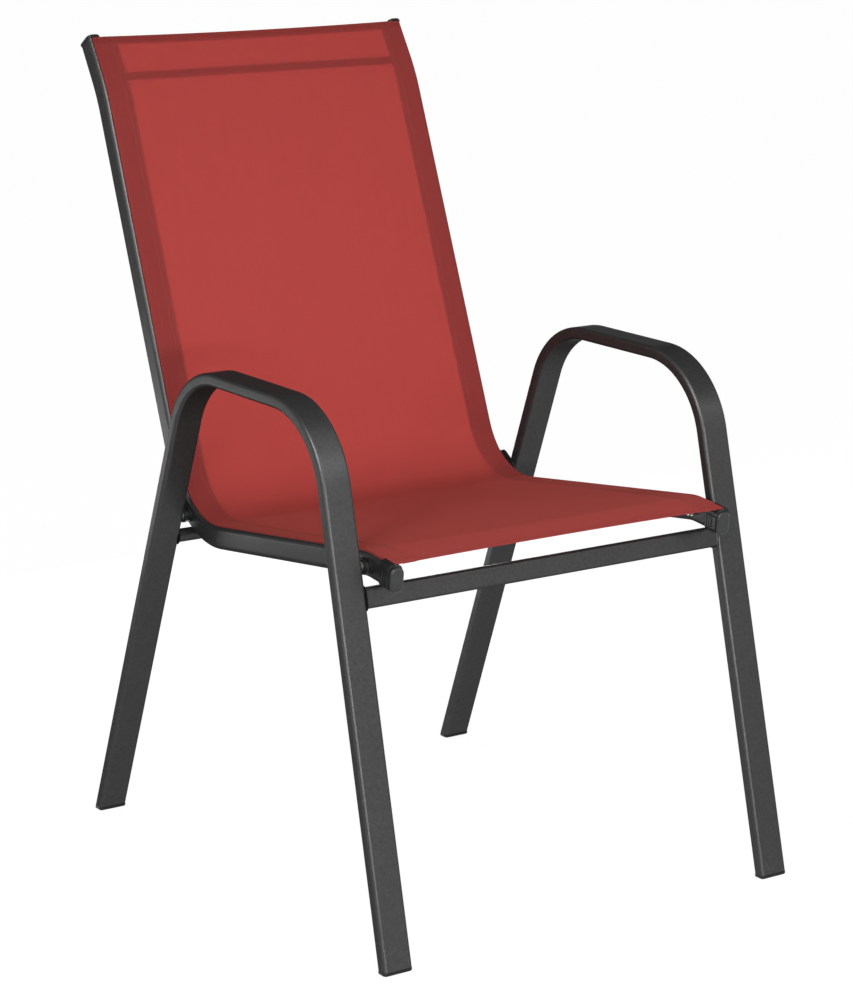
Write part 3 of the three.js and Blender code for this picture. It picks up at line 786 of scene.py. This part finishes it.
def weld_bead(name, outline, side, reach, y, z):
    """A fillet weld round a bar's end, with the ripple of its runs."""
    loop = [Vector(p) for p in outline]
    lengths = [0.0]
    for a, b in zip(loop, loop[1:] + loop[:1]):
        lengths.append(lengths[-1] + (b - a).length)
    total = lengths[-1]
    runs = round(total / WELD_PITCH)
    rings_per_run, curve_steps = 6, 8
    count = runs * rings_per_run
    wall = reach + GAP
    points = []
    for k in range(count):
        s = total * k / count
        i = max(j for j, v in enumerate(lengths[:-1]) if v <= s)
        a, b = loop[i], loop[(i + 1) % len(loop)]
        p = a.lerp(b, (s - lengths[i]) / (b - a).length)
        out = p.normalized()
        drift = WELD_DRIFT_SHARE * math.sin(3 * k / count)
        wave = abs(math.sin(math.pi * runs * k / count + drift))
        size = WELD_SIZE * (1 - WELD_RIPPLE_SHARE + WELD_RIPPLE_SHARE * wave)
        for j in range(curve_steps + 1):
            angle = math.pi / 2 * j / curve_steps
            away = size * (1 - math.sin(angle)) ** WELD_HOLLOW
            along = size * (1 - math.cos(angle)) ** WELD_HOLLOW
            face = p + out * away
            points.append((side * (wall - along), y + face.x + MIDDLE_Y, z + face.y))
        root = p - out * WELD_ROOT
        for along in (size, 0):
            points.append((side * (wall - along), y + root.x + MIDDLE_Y, z + root.y))
    width = len(points) // count
    faces = []
    for i in range(count):
        ring, following = i * width, (i + 1) % count * width
        for k in range(width):
            beside = (k + 1) % width
            faces.append((ring + k, ring + beside, following + beside, following + k))
    finished(outward(new_piece(name, points, faces, 60)), COAT, "frame_powder_coat")


def crossbars():
    """The flat bar between the front legs and the round one between the rear legs."""

    def reach(height):
        return hoop_x(height) - HOOP_WIDTH / 2 - GAP

    front = rounded_box(FRONT_BAR_THICKNESS, FRONT_BAR_WIDTH, FRONT_BAR_CORNER)
    y = -FOOT_SPREAD / 2 + FRONT_BAR_HEIGHT * math.tan(FRONT_LEAN)
    straight_bar("front_bar", front, y, FRONT_BAR_HEIGHT, -FRONT_LEAN,
                 reach(FRONT_BAR_HEIGHT + FRONT_BAR_WIDTH / 2), "front_crossbar")
    y = FOOT_SPREAD / 2 - REAR_BAR_HEIGHT * math.tan(REAR_LEAN)
    straight_bar("rear_bar", circle(REAR_BAR_DIAMETER / 2), y, REAR_BAR_HEIGHT, 0,
                 reach(REAR_BAR_HEIGHT + REAR_BAR_DIAMETER / 2), "rear_crossbar")


# Cloth
KNEE, HIP = [part for part in RAIL.parts if part.radius][:2]
KNEE_END = KNEE.start + KNEE.length
HIP_MIDDLE = HIP.start + HIP.length / 2
SEAT_MIDDLE = (KNEE_END + HIP.start) / 2
BACK_MIDDLE = HIP_MIDDLE + BACK_ABOVE_HIP


def bulge(s, middle, reach):
    """1 at a length along the rail, falling smoothly to both sides."""
    return math.exp(-((s - middle) / reach) ** 2)


def free_share(share):
    """1 in the middle of the cloth, falling to 0 at the rails, by the share of the way out."""
    return max(0.0, 1 - share ** 2)


def lift(s, share):
    """How far the cloth stands off its straight line between the rails, at a share of the way out."""
    hip = HIP_BOW * bulge(s, HIP_MIDDLE, HIP_REACH)
    seat = -SEAT_SAG * bulge(s, SEAT_MIDDLE, SEAT_REACH)
    back = -BACK_SAG * bulge(s, BACK_MIDDLE, BACK_REACH)
    return (hip + seat + back) * free_share(share)


def on_cloth(s, across, away, side):
    """A point of the cloth: length along the rail, distance out from the rail's centre line, level."""
    y, z, dy, dz = RAIL.at(s)
    half = rail_x(y, z)
    x = half + across
    inner = half - RAIL_WIDTH / 2
    share = min(1.0, abs(x) / inner)
    away = away + lift(s, share)
    return side * x, y - away * dz + MIDDLE_Y, z + away * dy


def cloth_profile():
    """The cloth's section on one side: hem edge, round the cord in the groove, and back over the rail."""
    fold = HEM_EDGE + FOLD_ROUNDING
    hem = [(TUCK_EDGE, TUCK_LEVEL), (fold, TUCK_LEVEL)]
    hem += [(HEM_EDGE, (TUCK_LEVEL + HEM_LEVEL) / 2), (fold, HEM_LEVEL)]
    hem += [(out, HEM_LEVEL) for out in HEM_RUN]
    hem += [(out, HEM_LEVEL + above) for out, above in INTO_SLOT]
    groove_middle = (GROOVE_AT, RAIL_DEPTH / 2 - SLOT_DEPTH - CHANNEL / 2)
    ring = open_ring(groove_middle, CORD_LOOP, math.asin(LOOP_NECK / CORD_LOOP), 12)
    rise = [(out, HEM_LEVEL + above) for out, above in OUT_OF_SLOT]
    rise += [(out, SHEET_LEVEL + above) for out, above in ONTO_RAIL]
    over = [(out, SHEET_LEVEL) for out in SHEET_RUN]
    return hem + ring + rise + over


def grid_faces(rows, width):
    """Faces between neighbouring rows of as many points each."""
    faces = []
    for i in range(rows - 1):
        for k in range(width - 1):
            a = i * width + k
            faces.append((a, a + 1, a + 1 + width, a + width))
    return faces


def cloth_piece(name, vertices, width, uvs, *nodes):
    """A piece of cloth from rows of as many points each, given its thickness."""
    piece = new_piece(name, vertices, grid_faces(len(vertices) // width, width), 80, uvs)
    thick = piece.modifiers.new("cloth thickness", "SOLIDIFY")
    thick.thickness = CLOTH
    thick.offset = 0
    return finished(piece, WEAVE, "sling_fabric", *nodes)


def sling():
    """The sheet with its side hems. Also gives its flat width and length."""
    profile = cloth_profile()
    first, last = FRONT_INSET, RAIL.length - TOP_INSET
    stops = RAIL.stops(0, RAIL.length, CLOTH_STEP, BEND_STEP)
    width = len(profile) * 2 + ACROSS_STEPS - 1
    vertices, uvs = [], []
    for stop in stops:
        s_here = first + (last - first) * stop / RAIL.length
        y, z, _, _ = RAIL.at(s_here)
        half = rail_x(y, z)
        near_front = max(0.0, 1 - (s_here - first) / RECESS_REACH)
        near_top = max(0.0, 1 - (last - s_here) / RECESS_REACH)
        drawn_in = FRONT_RECESS * near_front ** 2 - TOP_RECESS * near_top ** 2
        # The right side from the hem's tuck out to the groove and back in, the middle, then the left side
        right = [(half + out, level) for out, level in profile]
        join = right[-1][0]
        middle = [(join * (1 - 2 * k / ACROSS_STEPS), SHEET_LEVEL) for k in range(1, ACROSS_STEPS)]
        left = [(-x, level) for x, level in reversed(right)]
        run = 0.0
        before = right[0]
        for x, level in right + middle + left:
            run += math.hypot(x - before[0], level - before[1])
            before = (x, level)
            share = min(1.0, abs(x) / (half - RAIL_WIDTH / 2))
            s = s_here + drawn_in * free_share(share)
            vertices.append(on_cloth(s, abs(x) - half, level, math.copysign(1, x)))
            uvs.append((run, s))
    sheet = cloth_piece("sling_mesh_cloth", vertices, width, uvs, "sling_cloth")
    return sheet, uvs[width - 1][0], last - first


def free_edge(at_top):
    """Where a free edge starts along the rail, the way into the cloth and how far it draws in."""
    if at_top:
        return RAIL.length - TOP_INSET, -1, TOP_RECESS
    return FRONT_INSET, 1, FRONT_RECESS


def end_hem(name, at_top, length):
    """The cloth folded over at a free edge, with its raw edge tucked in."""
    end, way, recess = free_edge(at_top)
    gap = CLOTH + FOLD_CLEARANCE
    section = []
    nose_steps, run_steps = 4, 5
    for k in range(nose_steps + 1):
        angle = math.pi * k / nose_steps
        section.append((FOLD_NOSE - gap / 2 * math.sin(angle), -gap / 2 + gap / 2 * math.cos(angle)))
    section += [(length * k / run_steps, -gap) for k in range(1, run_steps + 1)]
    section += [(length + TUCK_OUT, -1.5 * gap)]
    section += [(length - back, -2 * gap) for back in (TUCK_BACK, TUCK_LENGTH)]
    half = rail_x(*RAIL.at(end)[:2]) - RAIL_WIDTH / 2
    inner = half - HEM_CLEARANCE
    vertices, uvs = [], []
    for k in range(HEM_COLUMNS + 1):
        spot = 2 * k / HEM_COLUMNS - 1
        x = abs(spot) * inner
        drawn_in = recess * free_share(min(1.0, x / half))
        run = 0.0
        before = section[0]
        for ahead, level in section:
            run += math.hypot(ahead - before[0], level - before[1])
            before = (ahead, level)
            s = end + way * (ahead + drawn_in)
            out = x - rail_x(*RAIL.at(s)[:2])
            vertices.append(on_cloth(s, out, SHEET_LEVEL + level, math.copysign(1, spot)))
            uvs.append((spot * inner, run))
    return cloth_piece(name, vertices, len(section), uvs)


def stitches(name, rows):
    """Rows of short threads that dip into the cloth at both ends."""
    vertices, faces = [], []
    sides, steps = 6, 4
    for spots in rows:
        for start, end, up in spots:
            way = (end - start).normalized()
            across = way.cross(up).normalized()
            base = len(vertices)
            for k in range(steps + 1):
                t = k / steps
                arch = math.sin(math.pi * t)
                swell = THREAD * (THREAD_END_SHARE + (1 - THREAD_END_SHARE) * arch)
                middle = start.lerp(end, t) + up * THREAD * (THREAD_RISE_SHARE * arch - THREAD_SINK_SHARE)
                for j in range(sides):
                    a = 2 * math.pi * j / sides
                    vertices.append(middle + across * swell * math.cos(a) + up * swell * math.sin(a))
            for k in range(steps):
                for j in range(sides):
                    a, b = base + k * sides + j, base + k * sides + (j + 1) % sides
                    faces.append((a, b, b + sides, a + sides))
            faces.append(tuple(base + j for j in reversed(range(sides))))
            faces.append(tuple(base + steps * sides + j for j in range(sides)))
    piece = outward(new_piece(name, vertices, faces, 80))
    return finished(piece, THREAD_SHADE, "sling_fabric")


def cloth_spot(s, across, side):
    """A point on the cloth's face and the way out of it."""
    p = Vector(on_cloth(s, across, SHEET_LEVEL + CLOTH / 2, side))
    _, _, dy, dz = RAIL.at(s)
    return p, Vector((0, -dz, dy))


def side_hem_row(across, side):
    """A row of stitches along a side hem, as starts, ends and ways out of the cloth."""
    spots = []
    s = FRONT_INSET + SIDE_SEAM_START
    while s < RAIL.length - TOP_INSET - SIDE_SEAM_END:
        start, up = cloth_spot(s, across, side)
        end, _ = cloth_spot(s + STITCH, across, side)
        spots.append((start, end, up))
        s += STITCH_PITCH
    return spots


def end_hem_row(at_top, length):
    """A row of stitches across an end hem."""
    end, way, recess = free_edge(at_top)
    inner = rail_x(*RAIL.at(end)[:2]) - RAIL_WIDTH / 2

    def spot(x):
        s = end + way * (length - END_SEAM + recess * free_share(abs(x) / inner))
        return cloth_spot(s, abs(x) - rail_x(*RAIL.at(s)[:2]), math.copysign(1, x))

    spots = []
    x = -inner + END_SEAM_START
    while x < inner - END_SEAM_END:
        start, _ = spot(x)
        finish, up = spot(x + STITCH)
        spots.append((start, finish, up))
        x += STITCH_PITCH
    return spots


def hem_seams():
    """Two rows of stitches along each side hem and one across each end hem."""
    made = []
    for name, side in SIDES:
        rows = [side_hem_row(HEM_EDGE + seam, side) for seam in SIDE_SEAMS]
        made.append(stitches(f"{name}_hem_stitches", rows))
    for name, at_top, length in END_HEMS:
        made.append(stitches(f"{name}_hem_stitches", [end_hem_row(at_top, length)]))
    return made


# Fixings and hidden pieces keep their solid's shape, with softened edges
def soften(node, material, width):
    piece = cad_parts[node]
    piece.data.materials.clear()
    piece.data.materials.append(material)
    bevel = piece.modifiers.new("softened edges", "BEVEL")
    bevel.width = width
    bevel.segments = 2
    bevel.limit_method = "ANGLE"
    bevel.angle_limit = BEVEL_FROM


def fixings():
    for name, _ in SIDES:
        for place in ("front", "rear"):
            soften(f"{name}_{place}_spacer", BLACK, SPACER_EDGE)
            for part in ("washer", "bolt", "rivet_nut"):
                soften(f"{name}_{place}_{part}", ZINC, FIXING_EDGE)
        soften(f"{name}_spreader_spigot", ZINC, FIXING_EDGE)
        soften(f"{name}_keder_rod", CORD, CORD_EDGE)
    soften("upper_back_spreader", COAT, SPREADER_EDGE)


for side_name, side in SIDES:
    leg_hoop(side_name, side)
    foot(side_name, side, "front", 1, FRONT_LEAN, -FOOT_SPREAD / 2)
    foot(side_name, side, "rear", -1, REAR_LEAN, FOOT_SPREAD / 2)
    side_rail(side_name, side)
    end_cap(side_name, side, False)
    end_cap(side_name, side, True)
crossbars()
fixings()
cloth, flat_width, flat_length = sling()
hems = [end_hem(f"{name}_hem_fold", at_top, length) for name, at_top, length in END_HEMS]
seams = hem_seams()


# Floor, background and lamps
WHITE = (1, 1, 1, 1)


def seen_rays(n):
    """1 for rays that show the background: straight from the camera, mirrored, or through clear glass."""
    rays = n.add("ShaderNodeLightPath")
    clear = n.math("SUBTRACT", rays.outputs["Is Transmission Ray"], rays.outputs["Is Diffuse Ray"])
    shown = n.math("MAXIMUM", rays.outputs["Is Camera Ray"], rays.outputs["Is Glossy Ray"])
    return n.math("MAXIMUM", shown, clear)


# Floor: its own grey for the shadow, and how much white covers it where it is seen
FLOOR_SIZE = 60
FLOOR_GREY = (0.3, 0.3, 0.3, 1)
FLOOR_WHITE = 1.15
FLOOR_SHOWN_SHARE = 0.85


def floor():
    """A white floor that keeps the chair's shadow."""
    bpy.ops.mesh.primitive_plane_add(size=FLOOR_SIZE, location=(0, 0, 0))
    plane = bpy.context.object
    plane.name = "studio_floor"
    n = Nodes("studio_floor")
    matt = n.add("ShaderNodeBsdfDiffuse", {"Color": FLOOR_GREY})
    white = n.add("ShaderNodeEmission", {"Color": WHITE, "Strength": FLOOR_WHITE})
    seen = n.math("MULTIPLY", seen_rays(n), FLOOR_SHOWN_SHARE)
    plane.data.materials.append(n.show(n.blend(seen, matt, white)))


# Light from all around, and the upward share of a view's direction where the wall turns into the ceiling
AMBIENT = 0.245
CEILING = (0.12, 0.12, 0.12, 1)
CEILING_LOW, CEILING_HIGH = 0.28, 0.6


def background():
    """Even light from all around, and a white wall under a darker ceiling where it is seen."""
    world = bpy.data.worlds.new("studio")
    bpy.context.scene.world = world
    n = Nodes(world=world)
    around = n.add("ShaderNodeBackground", {"Color": WHITE, "Strength": AMBIENT})
    ray = n.add("ShaderNodeTexCoord").outputs["Generated"]
    height = n.add("ShaderNodeSeparateXYZ", {"Vector": ray}).outputs["Z"]
    wall = n.mix(n.spread(height, CEILING_LOW, CEILING_HIGH, 0.0, 1.0), WHITE, CEILING)
    shown = n.add("ShaderNodeBackground", {"Color": wall, "Strength": 1.0})
    n.show(n.blend(seen_rays(n), around, shown))


CHAIR_MIDDLE = Vector((0, 0, 0.48))


def lamp(name, azimuth, elevation, distance, size, share, gloss_only=False):
    """A soft box turned to the chair's middle.

    Its azimuth and elevation are in degrees from straight in front, its distance and size in metres.
    share is the white level that it alone gives a face turned to it.
    """
    data = bpy.data.lights.new(name, "AREA")
    data.shape = "RECTANGLE"
    data.size, data.size_y = size
    data.energy = share * math.pi ** 2 * distance ** 2
    lamp_object = bpy.data.objects.new(name, data)
    a, e = azimuth * DEGREE, elevation * DEGREE
    back = Vector((math.sin(a) * math.cos(e), -math.cos(a) * math.cos(e), math.sin(e)))
    lamp_object.location = CHAIR_MIDDLE + back * distance
    lamp_object.rotation_mode = "QUATERNION"
    lamp_object.rotation_quaternion = back.to_track_quat("Z", "Y")
    lamp_object.visible_diffuse = not gloss_only
    bpy.context.scene.collection.objects.link(lamp_object)


# Camera, solved from the photograph: distances in metres, pixels in its 853 x 1000 frame
PHOTO = (853, 1000)
FOCAL_PIXELS = 2927.0
CENTRE_PIXEL = (423.3, 486.5)
CAMERA_AZIMUTH = -33.0 * DEGREE
CAMERA_ELEVATION = 12.7 * DEGREE
CAMERA_ROLL = -0.7 * DEGREE
CAMERA_DISTANCE = 3.4371
CAMERA_TARGET = (-0.0003, -0.0003, 0.4369)
SENSOR = 36.0
CLIP = (0.1, 200)


def camera():
    """The photograph's camera: its place, its roll and its off-centre picture."""
    data = bpy.data.cameras.new("photo_camera")
    data.sensor_width = SENSOR
    data.lens = FOCAL_PIXELS / max(PHOTO) * SENSOR
    data.shift_x = (PHOTO[0] / 2 - CENTRE_PIXEL[0]) / max(PHOTO)
    data.shift_y = (CENTRE_PIXEL[1] - PHOTO[1] / 2) / max(PHOTO)
    data.clip_start, data.clip_end = CLIP
    eye = bpy.data.objects.new("photo_camera", data)
    a, e = CAMERA_AZIMUTH, CAMERA_ELEVATION
    back = Vector((math.sin(a) * math.cos(e), -math.cos(a) * math.cos(e), math.sin(e)))
    right = Vector((math.cos(a), math.sin(a), 0))
    up = back.cross(right)
    turned = right * math.cos(CAMERA_ROLL) + up * math.sin(CAMERA_ROLL)
    up = up * math.cos(CAMERA_ROLL) - right * math.sin(CAMERA_ROLL)
    place = Vector(CAMERA_TARGET) + Vector((0, MIDDLE_Y, 0)) + back * CAMERA_DISTANCE
    eye.matrix_world = Matrix((
        (turned.x, up.x, back.x, place.x),
        (turned.y, up.y, back.y, place.y),
        (turned.z, up.z, back.z, place.z),
        (0, 0, 0, 1),
    ))
    bpy.context.scene.collection.objects.link(eye)
    bpy.context.scene.camera = eye


floor()
background()
lamp("front_soft_box", -12, 3.9, 3.4, (2.2, 0.12), 0.56)
lamp("near_front_box", -8, 30, 1.25, (0.8, 0.4), 0.26)
lamp("right_soft_box", 38, 30, 3.6, (1.0, 0.8), 0.08)
lamp("left_glint_box", -60, 36, 3.4, (1.3, 1.6), 1.2, gloss_only=True)
lamp("left_fill_box", -50, 20, 3.4, (0.6, 1.6), 0.15)
lamp("left_soft_box", -95, 10, 3.2, (1.0, 1.6), 0.1)
lamp("top_soft_box", 0, 52, 1.0, (1.0, 0.6), 0.24)
lamp("back_strip", 180, -12, 1.5, (2.4, 0.25), 1.3)
camera()
bpy.context.scene.view_settings.view_transform = "Standard"
